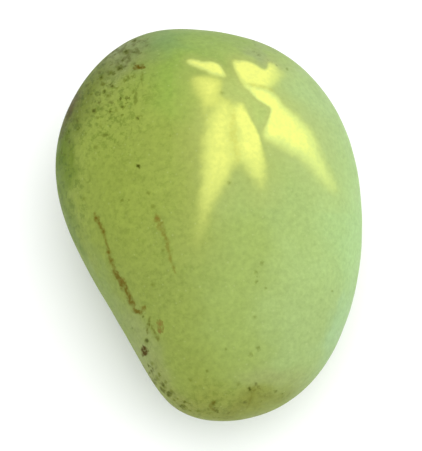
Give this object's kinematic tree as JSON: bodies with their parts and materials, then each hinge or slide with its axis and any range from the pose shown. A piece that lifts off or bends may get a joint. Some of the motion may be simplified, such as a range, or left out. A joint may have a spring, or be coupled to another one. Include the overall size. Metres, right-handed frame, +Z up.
{
  "type": "mango",
  "caption": "Whole green mango as picked: a slightly flattened oval fruit with a shallow sinus near its apex and a short woody stalk stub, lying on one cheek.",
  "frame": {"origin": "on the surface that the fruit rests on, under the middle of the whole object's box", "axes": "+Y along the fruit from its apex to its stalk, +X from the belly side, where the sinus is, to the round back, +Z up through the two cheeks"},
  "size_m": [0.0836, 0.1152, 0.07],
  "materials": {
    "skin": "waxy satin skin of a green mango, olive to pale green, with a soft bloom, pale yellow patches, fine pores and thin brown scars",
    "stalk": "dry, rough, grey-brown bark with a paler cut end"
  },
  "bodies": {
    "root": {"fruit": "skin", "stalk_stub": "stalk"}
  },
  "joints": []
}
